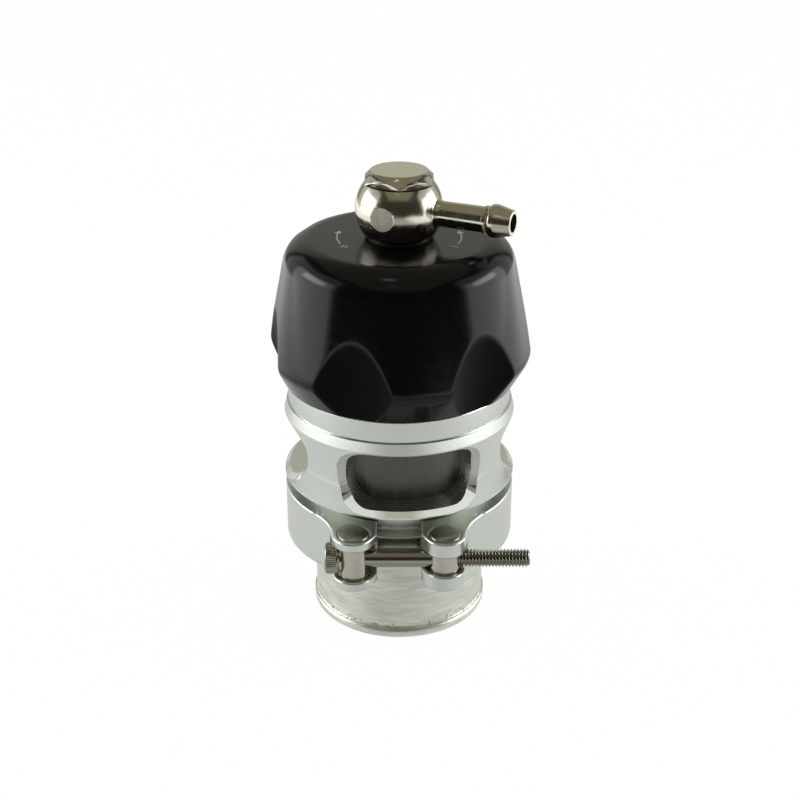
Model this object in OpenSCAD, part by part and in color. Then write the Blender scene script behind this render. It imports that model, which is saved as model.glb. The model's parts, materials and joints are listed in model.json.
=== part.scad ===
// Blow off valve: a spring loaded piston valve with a screw cap, side vents and a hinged clamp.
// The valve axis is Z, the foot of the inlet stub is at Z = 0 and the clamp closes towards -Y.
// Lengths are in millimetres and angles in degrees.

/* [Inlet stub] */
// Height of the joint between the stub and the valve body
stub_h = 25.7; // [22:0.1:30]
// Outer diameter of the hose spigot
tube_od = 38.2; // [36:0.1:39]
// Wall of the hose spigot
tube_wall = 2.1; // [1.6:0.1:2.6]
// How far the rolled bead stands out of the spigot
bead_out = 0.5; // [0.3:0.05:1.2]
// Height of the rolled bead
bead_h = 2.8; // [2.2:0.1:4]

/* [Clamp flanges] */
// Outer diameter of both clamp flanges
flange_od = 46; // [44.5:0.1:46.4]
// Diameter of the neck beside each flange
flange_neck_d = 41.6; // [41:0.1:42.4]
// Edge thickness of the body's flange
body_flange_t = 2.5; // [2:0.1:3.2]
// Edge thickness of the stub's flange
stub_flange_t = 4.4; // [3.6:0.1:5]
// Slope of the flanks that the clamp draws together
flank_angle = 20; // [15:1:25]
// Height of the neck between the joint and the lower rim
neck_h = 8.1; // [7.4:0.1:9]

/* [Valve body] */
// Diameter of the piston bore
bore_d = 38; // [37:0.1:38.6]
// Diameter of the valve seat's opening
seat_d = 33.6; // [32:0.1:34]
// Height of the seat above the joint
seat_h = 6.3; // [5.6:0.1:7]
// Diameter of the lower rim
lower_rim_od = 50.9; // [49:0.1:53]
// Height of the lower rim's edge
lower_rim_h = 0.4; // [0.3:0.1:1.6]
// Height of the lower flare
lower_flare_h = 3.2; // [2.4:0.1:4]
// Diameter of the waist
waist_od = 46.6; // [45:0.1:48]
// Radius of the blend between the lower flare and the waist
lower_waist_round = 8; // [4:0.5:9]
// Radius of the blend between the waist and the upper flare
upper_waist_round = 12; // [8:0.5:13]
// Height of the straight waist
waist_h = 6.2; // [5.5:0.1:8]
// Height of the upper flare
upper_flare_h = 5.2; // [4.6:0.1:7]
// Diameter of the upper rim
upper_rim_od = 50.4; // [49.6:0.1:52]
// Height of the upper rim
upper_rim_h = 2.4; // [1.8:0.1:3.4]
// Diameter of the collar below the cap
collar_od = 48.4; // [47.4:0.1:49]
// Height of the collar below the cap
collar_h = 4.8; // [3.5:0.1:6]
// Diameter of the neck that the cap screws onto
thread_d = 45.2; // [44:0.1:45.6]
// Length of the neck that the cap screws onto
thread_len = 16; // [14:0.5:17]

/* [Vents] */
// Turn of the front vent from the front
vent_turn = 6.5; // [-30:0.5:30]
// Angle that the front vent spans
vent_span = 74; // [50:1:84]
// Turn of each side vent from the front vent
side_vent_turn = 116; // [106:1:124]
// Angle that each side vent spans
side_vent_span = 98; // [60:1:104]
// Height of each vent
vent_h = 13.1; // [12.9:0.1:14]
// Height of the vent's sill above the lower rim
vent_sill = 1.1; // [0.9:0.1:2]
// Corner radius of a vent at the waist
vent_corner = 6.4; // [4:0.1:6.4]
// Depth of the chamfer at the ends of a vent
vent_chamfer = 1.15; // [0.4:0.05:1.2]
// Depth of the chamfer along the sill and the top of a vent
sill_chamfer = 0.35; // [0.2:0.05:0.4]

/* [Piston and spring] */
// Length of the piston
piston_len = 30; // [26:0.5:32]
// Wall of the piston's skirt
piston_wall = 3.4; // [2.6:0.1:4]
// Thickness of the piston's floor
piston_floor = 4; // [3:0.1:5]
// Mean diameter of the spring
spring_d = 25; // [22:0.5:26]
// Diameter of the spring wire
wire_d = 2.4; // [1.6:0.1:2.8]
// Number of turns of the spring
spring_turns = 6.5; // [5:0.5:8]
// Thickness of the upper spring seat
spring_seat_t = 2.2; // [1.6:0.1:3]

/* [Cap] */
// Height of the cap
cap_h = 31.2; // [30:0.1:34]
// Largest diameter of the cap
cap_od = 57.1; // [56:0.1:60]
// Diameter of the cap's lower edge
cap_edge_d = 50; // [49.6:0.1:51]
// Diameter of the cap's side where it would meet the top
cap_top_d = 46.9; // [46:0.1:49]
// Height of the chamfer under the widest part
cap_chamfer_h = 6.3; // [5:0.1:8]
// Radius of the rounded top edge
cap_fillet = 6.2; // [4:0.1:7]
// Radius of the widest edge
cap_edge_round = 4; // [0.5:0.1:4.5]
// Thickness of the cap's top
cap_top_t = 5.2; // [4.5:0.1:6]
// Number of grip flutes
flute_count = 6; // [5:1:8]
// Turn of the first flute from the front
flute_turn = -20.5; // [-30:0.5:30]
// Radius of the flute cutter
flute_r = 20; // [16:0.5:24]
// Distance of a flute's floor from the axis at the lower edge
flute_floor = 24.3; // [24.1:0.1:24.8]
// Lean of a flute away from the axis
flute_lean = 7; // [6:0.1:8]

/* [Vacuum fitting] */
// Diameter of the banjo ball
ball_d = 18.3; // [17.5:0.1:19]
// Height of the banjo's flat faces apart
banjo_h = 11.2; // [10.6:0.1:12]
// Height of the hose barb above the banjo's lower face
barb_rise = 5.65; // [5.2:0.05:6]
// Turn of the barb from the right towards the front
barb_turn = 23.8; // [-40:0.1:40]
// Length of the barb from the banjo's axis
barb_len = 25; // [22:0.1:28]
// Diameter of the barb's stem
barb_stem_d = 5.3; // [4.6:0.1:5.8]
// Diameter of the barb's bulge
barb_bulge_d = 6.8; // [6.2:0.1:7.4]
// Bore of the barb
barb_bore_d = 3.8; // [3:0.1:4]
// Diameter of the flat on the ball across from the barb
spot_d = 5; // [4:0.1:5.6]
// Diameter of the banjo bolt
banjo_bolt_d = 9.8; // [9:0.1:10.4]
// Width across the flats of the banjo bolt's head
banjo_head_af = 14; // [13.4:0.1:14.6]
// Thickness of the banjo bolt's head
banjo_head_t = 2.2; // [1.8:0.05:2.6]
// Diameter of the head's flat top
banjo_head_top_d = 11.8; // [11:0.1:12.6]
// Thickness of each sealing washer
washer_t = 0.35; // [0.3:0.05:0.9]
// Diameter of the sealing washers
washer_od = 13.6; // [12.4:0.1:14]

/* [Clamp] */
// Wall of the clamp ring outside its groove
ring_wall = 2.1; // [1.6:0.1:2.6]
// Height of the clamp ring
ring_h = 12.4; // [12:0.1:14]
// Height of the ring's middle above the foot
ring_mid = 24.9; // [24.5:0.1:25.3]
// Width of the opening between the ears
ear_gap = 9.4; // [7:0.1:10]
// Diameter of the ears
ear_d = 8.7; // [8.5:0.1:10]
// Height of the ears
ear_h = 11.5; // [11:0.1:12]
// Height of the middle of the ears and the bolt above the foot
ear_mid = 25.4; // [25:0.05:25.6]
// Distance of each barrel from the middle
barrel_x = 9.6; // [9.5:0.1:11]
// Distance of the barrels' middle outside the ring
barrel_out = 1.1; // [0.8:0.1:2.1]
// Diameter of the barrels
barrel_d = 6.6; // [6.2:0.1:6.8]
// How far the barrels stand out of the ears
barrel_stand = 0.2; // [0:0.1:0.8]
// Height of the slot in the left ear, which clears the bolt's head
head_slot_h = 7.3; // [7.2:0.1:8]
// Height of the slot in the right ear
bolt_slot_h = 4.5; // [4.3:0.1:5.4]
// Radius of the blend between an ear and the ring
ear_blend = 15; // [8:0.5:18]
// Diameter of the clamp bolt
bolt_d = 4; // [3.6:0.1:4.1]
// Length of the clamp bolt under its head
bolt_len = 40; // [36:0.5:42]
// Diameter of the clamp bolt's head
bolt_head_d = 6.6; // [6:0.1:6.8]
// Thickness of the clamp bolt's head
bolt_head_t = 3; // [2.4:0.1:3.4]
// Width across the flats of the socket in the bolt's head
socket_af = 3; // [2.5:0.1:3.2]
// Depth of the socket in the bolt's head
socket_deep = 2; // [1.6:0.1:2.2]
// Distance of the hinge pin's middle outside the ring
hinge_out = 1.8; // [1.4:0.1:2.6]
// Diameter of the hinge pin
hinge_pin_d = 3; // [2.4:0.1:3.2]
// Diameter of the hinge knuckles
knuckle_d = 6.2; // [5.6:0.1:6.6]

/* [Clearances] */
// Running clearance of pins, barrels and the piston
running_gap = 0.06; // [0.02:0.01:0.09]
// Gap between flat faces that turn or lift on each other
face_gap = 0.05; // [0.02:0.01:0.2]
// Gap between the clamp and the flanges
clamp_gap = 0.3; // [0.2:0.05:0.4]
// Gap between the piston and its seat, which the seal closes
seat_gap = 0.3; // [0.2:0.05:0.5]
// Gap below the cap
cap_gap = 0.2; // [0.1:0.05:0.6]

/* [Hidden] */
$fn = 96;
// Turn between two points of a rounded corner
arc_step = 6;
// How far a cut runs past the faces it opens
past = 1;
// Section diameter of the round seals
seal_d = 1.6;
// Room beside a seal in its groove
seal_room = 0.25;
// Edge break of small parts
edge_break = 0.4;
// Slope of the chamfer round a vent
chamfer_angle = 45;
// Edge break of the lower rim
rim_break = 0.12;
// Angle of the round's end at the inner face of an ear
ear_end_angle = 30;

stub_bore_r = tube_od / 2 - tube_wall;
flange_r = flange_od / 2;
flange_neck_r = flange_neck_d / 2;
stub_flange_low = stub_h - stub_flange_t;
body_flange_top = stub_h + body_flange_t;

under_rim_z = stub_h + neck_h;
lower_rim_z = under_rim_z + lower_rim_h;
waist_low_z = lower_rim_z + lower_flare_h;
waist_top_z = waist_low_z + waist_h;
upper_rim_low_z = waist_top_z + upper_flare_h;
upper_rim_z = upper_rim_low_z + upper_rim_h;
shoulder_z = upper_rim_z + collar_h;
body_top_z = shoulder_z + thread_len;
seat_z = stub_h + seat_h;
waist_r = waist_od / 2;
bore_r = bore_d / 2;
vent_low_z = lower_rim_z + vent_sill;
vent_top_z = vent_low_z + vent_h;
// Turn between two points along a vent's edge and round its corners
vent_step = 6;
vent_corner_step = 7.5;
// Turn and span of each vent
vents = [
    [vent_turn, vent_span],
    [vent_turn + side_vent_turn, side_vent_span],
    [vent_turn - side_vent_turn, side_vent_span]
];

piston_r = bore_r - running_gap;
piston_low_z = seat_z + seat_gap;
piston_top_z = piston_low_z + piston_len;
piston_floor_z = piston_low_z + piston_floor;
// The seal in the piston's floor sits on the middle of the seat
valve_seal_r = (seat_d / 2 + bore_r) / 2;
valve_seal_w = 1.2;
valve_seal_z = piston_low_z + valve_seal_w;

cap_low_z = shoulder_z + cap_gap;
cap_wide_z = cap_low_z + cap_chamfer_h;
cap_top_z = cap_low_z + cap_h;
cap_ceiling_z = cap_top_z - cap_top_t;
cap_bore_r = thread_d / 2 + running_gap;
// Room above the neck, into which the piston's skirt rises
chamber_room = 1.5;
chamber_r = bore_r + chamber_room;

spring_seat_top_z = cap_ceiling_z - face_gap;
spring_seat_low_z = spring_seat_top_z - spring_seat_t;
// Height of the boss that centres the spring
seat_boss_h = 2;

banjo_low_z = cap_top_z + washer_t + 2 * face_gap;
banjo_top_z = banjo_low_z + banjo_h;
barb_z = banjo_low_z + barb_rise;
banjo_head_z = banjo_top_z + washer_t + 2 * face_gap;
banjo_bolt_r = banjo_bolt_d / 2;

groove_r = flange_r + clamp_gap;
ring_r = groove_r + ring_wall;
ring_od = 2 * ring_r;
ring_low_z = ring_mid - ring_h / 2;
ring_top_z = ring_mid + ring_h / 2;
// Room between the clamp's lips and the necks
lip_room = 0.5;
lip_r = flange_neck_r + lip_room;
barrel_y = ring_r + barrel_out;
hinge_y = ring_r + hinge_out;
barrel_r = barrel_d / 2;
// Half the gap between the clamp's two halves at the hinge
hinge_split = 0.4;
// Depth of the plain barrel's flats, where the bolt's head and washer bear
flat_deep = 0.9;
barrel_flat = barrel_r - flat_deep;
bolt_washer_t = 0.5;
bolt_head_r = bolt_head_d / 2;
// Depth of the slots behind the bolt's axis, with room for the bolt to swing
bolt_slot_deep = bolt_d / 2 + 1.2;
bolt_washer_x = -barrel_x - barrel_flat - face_gap - bolt_washer_t;
bolt_head_x = bolt_washer_x - face_gap;
// Height of the hinge knuckle of the right half
knuckle_h = ring_h / 3 - 2 * clamp_gap;

// Direction of a vector
function unit(v) = v / norm(v);

// The first two numbers of a point
function flat(p) = [p[0], p[1]];

// Points of the arc of radius r that rounds the corner p between its neighbours a and b
function corner_arc(a, p, b, r) =
    r <= 0 ? [p] :
    let (
        u = unit(a - p),
        v = unit(b - p),
        half = acos(u * v) / 2,
        centre = p + unit(u + v) * r / sin(half),
        from = p + u * r / tan(half) - centre,
        to = p + v * r / tan(half) - centre,
        start = atan2(from[1], from[0]),
        turn = atan2(to[1], to[0]) - start,
        sweep = turn > 180 ? turn - 360 : turn < -180 ? turn + 360 : turn,
        steps = max(2, ceil(abs(sweep) / arc_step))
    )
    [for (i = [0 : steps]) centre + r * [cos(start + sweep * i / steps), sin(start + sweep * i / steps)]];

// Outline through points [x, y, corner radius]
function rounded(points) =
    let (count = len(points))
    [for (i = [0 : count - 1])
        each corner_arc(flat(points[(i + count - 1) % count]), flat(points[i]),
            flat(points[(i + 1) % count]), points[i][2])];

// Height that a flange's flank has gained at a distance from the axis
function flank_rise(r) = (flange_r - r) * tan(flank_angle);

// Outer radius of the body at a height between its two rims
function skirt_r(z) =
    z < waist_low_z ? waist_r + (lower_rim_od / 2 - waist_r) * (waist_low_z - z) / lower_flare_h :
    z > waist_top_z ? waist_r + (upper_rim_od / 2 - waist_r) * (z - waist_top_z) / upper_flare_h :
    waist_r;

// Turn about Z that points +X at an angle counted from the front towards the right
function facing(angle) = angle - 90;

// A solid of revolution from points [radius, height, corner radius]
module turned(points) {
    rotate_extrude() polygon(rounded(points));
}

// A plain ring
module ring(outer_r, inner_r, low, high) {
    turned([[inner_r, low, 0], [outer_r, low, 0], [outer_r, high, 0], [inner_r, high, 0]]);
}

// A round seal
module round_seal(middle_r, z) {
    rotate_extrude() translate([middle_r, z]) circle(d = seal_d, $fn = 32);
}

// A sealing washer on the vacuum fitting's axis
module sealing_washer(z) {
    ring(washer_od / 2, banjo_bolt_r + running_gap, z, z + washer_t);
}

module inlet_stub() {
    tube_r = tube_od / 2;
    bead_r = tube_r + bead_out;
    seal_r = (stub_bore_r + flange_r) / 2;
    color("silver") difference() {
        turned([
            [stub_bore_r, 0, 0],
            [bead_r, 0, bead_h * 0.45],
            [bead_r, bead_h, bead_h * 0.45],
            [tube_r, bead_h, edge_break],
            [tube_r, stub_flange_low - flank_rise(tube_r), 1],
            [flange_r, stub_flange_low, edge_break],
            [flange_r, stub_h, edge_break / 2],
            [stub_bore_r, stub_h, 0]
        ]);
        ring(seal_r + seal_d / 2 + seal_room, seal_r - seal_d / 2 - seal_room,
            stub_h - seal_d - face_gap, stub_h + past);
    }
}

module flange_seal() {
    color("#1b1b1b") round_seal((stub_bore_r + flange_r) / 2, stub_h - seal_d / 2 - face_gap / 2);
}

// Stops round a vent's outline, each [arc from the vent's middle, height, direction of the outline's normal]
function vent_stops(span) =
    let (
        side = waist_r * span * PI / 360 - vent_corner,
        low = vent_low_z + vent_corner,
        top = vent_top_z - vent_corner,
        edge = ceil(span / vent_step),
        corner = ceil(90 / vent_corner_step)
    )
    concat(
        [for (i = [0 : edge]) [side * (2 * i / edge - 1), low, -90]],
        [for (i = [1 : corner]) [side, low, 90 * i / corner - 90]],
        [for (i = [0 : corner]) [side, top, 90 * i / corner]],
        [for (i = [1 : edge]) [side * (1 - 2 * i / edge), top, 90]],
        [for (i = [1 : corner]) [-side, top, 90 + 90 * i / corner]],
        [for (i = [0 : corner - 1]) [-side, low, 180 + 90 * i / corner]]
    );

// Point of a vent's wall: a stop, moved out along its normal and set at a radius
function vent_point(stop, grow, r) =
    let (
        turn = (stop[0] + (vent_corner + grow) * cos(stop[2])) / waist_r * 180 / PI,
        z = stop[1] + (vent_corner + grow) * sin(stop[2])
    )
    [r * cos(turn), r * sin(turn), z];

// Radius at which the chamfer of a vent starts, at one stop
function chamfer_start(stop) =
    skirt_r(stop[1] + vent_corner * sin(stop[2]))
    - vent_chamfer * pow(cos(stop[2]), 2) - sill_chamfer * pow(sin(stop[2]), 2);

// Cutter for one vent: radial walls, a level sill and a chamfer that follows the waist and the flares
module vent_cutter(span) {
    inner_r = bore_r - 3;
    reach = lower_rim_od / 2 + past;
    stops = vent_stops(span);
    count = len(stops);
    middle_z = (vent_low_z + vent_top_z) / 2;
    points = concat(
        [for (stop = stops) vent_point(stop, 0, inner_r)],
        [for (stop = stops) vent_point(stop, 0, chamfer_start(stop))],
        [for (stop = stops) vent_point(stop, (reach - chamfer_start(stop)) * tan(chamfer_angle), reach)],
        [[inner_r, 0, middle_z], [reach / cos(span / 2), 0, middle_z]]
    );
    walls = [for (band = [0, 1], i = [0 : count - 1])
        let (
            here = band * count + i,
            next = band * count + (i + 1) % count
        )
        each [[here, here + count, next + count], [here, next + count, next]]];
    ends = [for (i = [0 : count - 1])
        let (next = (i + 1) % count)
        each [[3 * count, i, next], [3 * count + 1, 2 * count + next, 2 * count + i]]];
    polyhedron(points = points, faces = concat(walls, ends), convexity = 4);
}

module body() {
    thread_r = thread_d / 2;
    cap_seal_z = body_top_z - seal_d - 1.6;
    color("gainsboro") difference() {
        turned([
            [seat_d / 2, stub_h, 0],
            [flange_r, stub_h, edge_break / 2],
            [flange_r, body_flange_top, edge_break],
            [flange_neck_r, body_flange_top + flank_rise(flange_neck_r), edge_break],
            [flange_neck_r, under_rim_z, edge_break],
            [lower_rim_od / 2, under_rim_z, rim_break],
            [lower_rim_od / 2, lower_rim_z, rim_break],
            [waist_r, waist_low_z, lower_waist_round],
            [waist_r, waist_top_z, upper_waist_round],
            [upper_rim_od / 2, upper_rim_low_z, 0.8],
            [collar_od / 2 + edge_break, upper_rim_z, edge_break / 2],
            [collar_od / 2, upper_rim_z, 0],
            [collar_od / 2, shoulder_z, edge_break],
            [thread_r, shoulder_z, 0],
            [thread_r, body_top_z, edge_break],
            [bore_r, body_top_z, edge_break],
            [bore_r, seat_z, 0],
            [seat_d / 2, seat_z, edge_break]
        ]);
        ring(thread_r + past, thread_r - seal_d, cap_seal_z - seal_room - seal_d / 2,
            cap_seal_z + seal_room + seal_d / 2);
        for (vent = vents) {
            rotate([0, 0, facing(vent[0])]) vent_cutter(vent[1]);
        }
    }
}

module cap_seal() {
    color("#1b1b1b") round_seal(cap_bore_r - seal_d / 2 - face_gap, body_top_z - seal_d - 1.6);
}

module piston() {
    ring_z = piston_top_z - 4;
    color("#4a4a46") difference() {
        turned([
            [0, piston_low_z, 0],
            [piston_r, piston_low_z, edge_break],
            [piston_r, piston_top_z, edge_break],
            [piston_r - piston_wall, piston_top_z, edge_break],
            [piston_r - piston_wall, piston_floor_z, 1.5],
            [0, piston_floor_z, 0]
        ]);
        ring(piston_r + past, piston_r - seal_d, ring_z - seal_d / 2 - seal_room,
            ring_z + seal_d / 2 + seal_room);
        ring(valve_seal_r + valve_seal_w / 2, valve_seal_r - valve_seal_w / 2,
            piston_low_z - past, valve_seal_z);
    }
}

module piston_ring() {
    color("#1b1b1b") round_seal(bore_r - seal_d / 2 - face_gap, piston_top_z - 4);
}

module valve_seal() {
    half_w = valve_seal_w / 2 - face_gap;
    color("#1b1b1b")
        ring(valve_seal_r + half_w, valve_seal_r - half_w, seat_z + face_gap, valve_seal_z - face_gap);
}

// Coil spring: a round section carried up a helix between the piston's floor and the upper seat
module spring() {
    sides = 8;
    per_turn = 24;
    count = spring_turns * per_turn;
    wire_r = wire_d / 2;
    low = piston_floor_z + wire_r + face_gap;
    rise = spring_seat_low_z - piston_floor_z - wire_d - 2 * face_gap;
    points = [for (i = [0 : count], j = [0 : sides - 1])
        let (
            turn = i * 360 / per_turn,
            around = j * 360 / sides,
            r = spring_d / 2 + wire_r * cos(around)
        )
        [r * cos(turn), r * sin(turn), low + rise * i / count + wire_r * sin(around)]];
    walls = [for (i = [0 : count - 1], j = [0 : sides - 1])
        let (next = (j + 1) % sides)
        [i * sides + j, i * sides + next, (i + 1) * sides + next, (i + 1) * sides + j]];
    ends = [
        [for (j = [sides - 1 : -1 : 0]) j],
        [for (j = [0 : sides - 1]) count * sides + j]
    ];
    color("dimgray") polyhedron(points = points, faces = concat(walls, ends), convexity = 8);
}

module spring_seat() {
    outer_r = spring_d / 2 + wire_d;
    boss_r = spring_d / 2 - wire_d;
    color("darkgray") turned([
        [banjo_bolt_r, spring_seat_low_z - seat_boss_h, 0],
        [boss_r, spring_seat_low_z - seat_boss_h, edge_break],
        [boss_r, spring_seat_low_z, 0],
        [outer_r, spring_seat_low_z, edge_break],
        [outer_r, spring_seat_top_z, 0],
        [banjo_bolt_r, spring_seat_top_z, 0]
    ]);
}

module cap() {
    color("#151515") difference() {
        turned([
            [banjo_bolt_r + running_gap, cap_top_z, 0],
            [cap_top_d / 2, cap_top_z, cap_fillet],
            [cap_od / 2, cap_wide_z, cap_edge_round],
            [cap_edge_d / 2, cap_low_z, edge_break / 2],
            [cap_bore_r, cap_low_z, 0],
            [cap_bore_r, body_top_z + 1, 0],
            [chamber_r, body_top_z + 1, 0],
            [chamber_r, cap_ceiling_z, 2],
            [banjo_bolt_r + running_gap, cap_ceiling_z, 0]
        ]);
        for (i = [0 : flute_count - 1]) {
            rotate([0, 0, facing(flute_turn + i * 360 / flute_count)])
                translate([flute_floor, 0, cap_low_z])
                    rotate([0, flute_lean, 0])
                        translate([flute_r, 0, -cap_h / 2])
                            cylinder(h = 2 * cap_h, r = flute_r);
        }
    }
}

module banjo_washer_lower() {
    color("#22211f") sealing_washer(cap_top_z + face_gap);
}

module banjo_washer_upper() {
    color("#22211f") sealing_washer(banjo_top_z + face_gap);
}

// Ball with flat ends, a hose barb and a flat across from the barb
module banjo_fitting() {
    stem_r = barb_stem_d / 2;
    bulge_r = barb_bulge_d / 2;
    stem_end = barb_len - 6;
    ball_r = ball_d / 2;
    spot_face = sqrt(pow(ball_r, 2) - pow(spot_d / 2, 2));
    color("#8a8778") difference() {
        union() {
            intersection() {
                translate([0, 0, barb_z]) sphere(d = ball_d);
                translate([-ball_d, -ball_d, banjo_low_z]) cube([2 * ball_d, 2 * ball_d, banjo_h]);
            }
            translate([0, 0, barb_z])
                rotate([0, 0, -barb_turn])
                    rotate([0, 90, 0])
                        turned([
                            [0, 0, 0],
                            [stem_r + 2, 0, 0],
                            [stem_r, ball_r + 0.6, 1.5],
                            [stem_r, stem_end, 0],
                            [stem_r + 0.25, stem_end, 0.1],
                            [stem_r + 0.25, stem_end + 0.5, 0.1],
                            [stem_r, stem_end + 0.6, 0.1],
                            [bulge_r, stem_end + 1.6, 0.7],
                            [bulge_r, stem_end + 2.6, 0.8],
                            [stem_r - 0.1, barb_len, 0.2],
                            [0, barb_len, 0]
                        ]);
        }
        translate([0, 0, banjo_low_z - past])
            cylinder(h = banjo_h + 2 * past, r = banjo_bolt_r + running_gap);
        translate([0, 0, barb_z])
            rotate([0, 0, -barb_turn])
                rotate([0, 90, 0])
                    cylinder(h = barb_len + past, d = barb_bore_d);
        translate([0, 0, barb_z])
            rotate([0, 0, -barb_turn - 90])
                rotate([0, 90, 0])
                    translate([0, 0, spot_face]) cylinder(h = ball_d, d = spot_d + past);
    }
}

// Hollow bolt that holds the banjo and leads its bore into the cap
module banjo_bolt() {
    head_top_z = banjo_head_z + banjo_head_t;
    head_corner_r = banjo_head_af / sqrt(3);
    color("#8a8778") difference() {
        union() {
            intersection() {
                translate([0, 0, banjo_head_z])
                    rotate([0, 0, 30]) cylinder(h = banjo_head_t, r = head_corner_r, $fn = 6);
                turned([
                    [0, banjo_head_z, 0],
                    [banjo_head_top_d / 2 + banjo_head_t, banjo_head_z, 0],
                    [banjo_head_top_d / 2, head_top_z, 0],
                    [0, head_top_z, 0]
                ]);
            }
            translate([0, 0, cap_ceiling_z])
                cylinder(h = banjo_head_z - cap_ceiling_z + edge_break, r = banjo_bolt_r);
        }
        ring(banjo_bolt_r + past, banjo_bolt_r - 0.9, barb_z - barb_bore_d / 2, barb_z + barb_bore_d / 2);
        translate([0, 0, cap_ceiling_z - past])
            cylinder(h = barb_z + barb_bore_d / 2 - cap_ceiling_z + past, r = banjo_bolt_r - 2.6);
        translate([-banjo_bolt_d, 0, barb_z])
            rotate([0, 90, 0]) cylinder(h = 2 * banjo_bolt_d, r = barb_bore_d / 2 - edge_break);
    }
}

// Plan of one ear with its blend into the ring, for the right half
module ear_plan() {
    ear_r = ear_d / 2;
    centre = [barrel_x, -barrel_y];
    // The blend's centre lies a blend radius outside both the ring and the ear
    to_ear = norm(centre);
    from_axis = ring_r + ear_blend;
    from_ear = ear_r + ear_blend;
    spread = acos((pow(to_ear, 2) + pow(from_axis, 2) - pow(from_ear, 2)) / (2 * to_ear * from_axis));
    ear_angle = atan2(-barrel_y, barrel_x);
    blend = from_axis * [cos(ear_angle + spread), sin(ear_angle + spread)];
    difference() {
        union() {
            translate(centre) circle(d = ear_d);
            polygon([
                centre,
                [barrel_x, -barrel_y / 2],
                [ear_gap / 2, -barrel_y / 2],
                [ear_gap / 2, -barrel_y],
                centre - ear_r * [cos(ear_end_angle), sin(ear_end_angle)]
            ]);
            difference() {
                polygon([centre, blend, [0, 0]]);
                translate(blend) circle(r = ear_blend);
            }
        }
        circle(r = (groove_r + ring_r) / 2);
        translate([-ring_od, -ring_od]) square([ring_od + ear_gap / 2, 2 * ring_od]);
    }
}

// One half of the clamp, drawn as the right half, with its slot and its own hinge knuckles
module clamp_half(slot_h, pocket_deep, knuckles, other_knuckles) {
    ear_low = ear_mid - ear_h / 2;
    lip_low = stub_flange_low - flank_rise(lip_r) - clamp_gap;
    lip_high = body_flange_top + flank_rise(lip_r) + clamp_gap;
    difference() {
        union() {
            difference() {
                turned([
                    [lip_r, ring_low_z, edge_break],
                    [ring_r, ring_low_z, edge_break],
                    [ring_r, ring_top_z, edge_break],
                    [lip_r, ring_top_z, edge_break],
                    [lip_r, lip_high, 0],
                    [groove_r, body_flange_top + clamp_gap, 0],
                    [groove_r, stub_flange_low - clamp_gap, 0],
                    [lip_r, lip_low, 0]
                ]);
                translate([-ring_od, -ring_od, 0]) cube([ring_od + ear_gap / 2, ring_od, 3 * ring_mid]);
                translate([-ring_od, -past, 0]) cube([ring_od + hinge_split, ring_od, 3 * ring_mid]);
            }
            translate([0, 0, ear_low]) linear_extrude(ear_h) ear_plan();
            for (span = knuckles) {
                translate([0, hinge_y, span[0]]) cylinder(h = span[1] - span[0], d = knuckle_d);
                translate([hinge_split / 2, ring_r - 1.5, span[0]])
                    cube([knuckle_d / 2 - hinge_split / 2, hinge_y - ring_r + 1.5, span[1] - span[0]]);
            }
        }
        for (span = other_knuckles) {
            translate([0, hinge_y, span[0] - clamp_gap])
                cylinder(h = span[1] - span[0] + 2 * clamp_gap, r = knuckle_d / 2 + clamp_gap);
        }
        translate([0, hinge_y, ring_low_z - past])
            cylinder(h = ring_h + 2 * past, d = hinge_pin_d + 2 * running_gap);
        translate([barrel_x, -barrel_y, ring_low_z - past])
            cylinder(h = ring_h + 2 * past, r = barrel_r + running_gap);
        translate([0, -2 * ring_od, ear_mid - slot_h / 2])
            cube([2 * ring_od, 2 * ring_od - barrel_y + bolt_slot_deep, slot_h]);
        translate([barrel_x + barrel_flat / 2, -2 * ring_od, ear_mid - slot_h / 2])
            cube([ring_od, 2 * ring_od - barrel_y + pocket_deep, slot_h]);
    }
}

right_knuckles = [[ring_mid - knuckle_h / 2, ring_mid + knuckle_h / 2]];
left_knuckles = [
    [ring_low_z + edge_break, ring_mid - knuckle_h / 2 - clamp_gap],
    [ring_mid + knuckle_h / 2 + clamp_gap, ring_top_z - edge_break]
];

module clamp_half_left() {
    color("lightgray") mirror([1, 0, 0])
        clamp_half(head_slot_h, bolt_head_r + clamp_gap, left_knuckles, right_knuckles);
}

module clamp_half_right() {
    color("lightgray") clamp_half(bolt_slot_h, bolt_slot_deep, right_knuckles, left_knuckles);
}

module clamp_hinge_pin() {
    color("darkgray") translate([0, hinge_y, ring_low_z])
        cylinder(h = ring_h, d = hinge_pin_d);
}

// A barrel across the ears, with a hole for the bolt
module barrel(x) {
    half_h = ear_h / 2 + barrel_stand;
    translate([x, -barrel_y, ear_mid]) difference() {
        turned([
            [0, -half_h, 0],
            [barrel_r, -half_h, edge_break / 2],
            [barrel_r, half_h, edge_break / 2],
            [0, half_h, 0]
        ]);
        translate([-barrel_d, 0, 0]) rotate([0, 90, 0])
            cylinder(h = 2 * barrel_d, d = bolt_d + 2 * running_gap);
    }
}

module clamp_barrel_plain() {
    color("#aaa79b") difference() {
        barrel(-barrel_x);
        for (side = [0, 180]) {
            translate([-barrel_x, -barrel_y, ear_mid]) rotate([0, 90, side])
                translate([0, 0, barrel_flat]) cylinder(h = barrel_d, d = head_slot_h);
        }
    }
}

module clamp_barrel_threaded() {
    color("#aaa79b") barrel(barrel_x);
}

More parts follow.
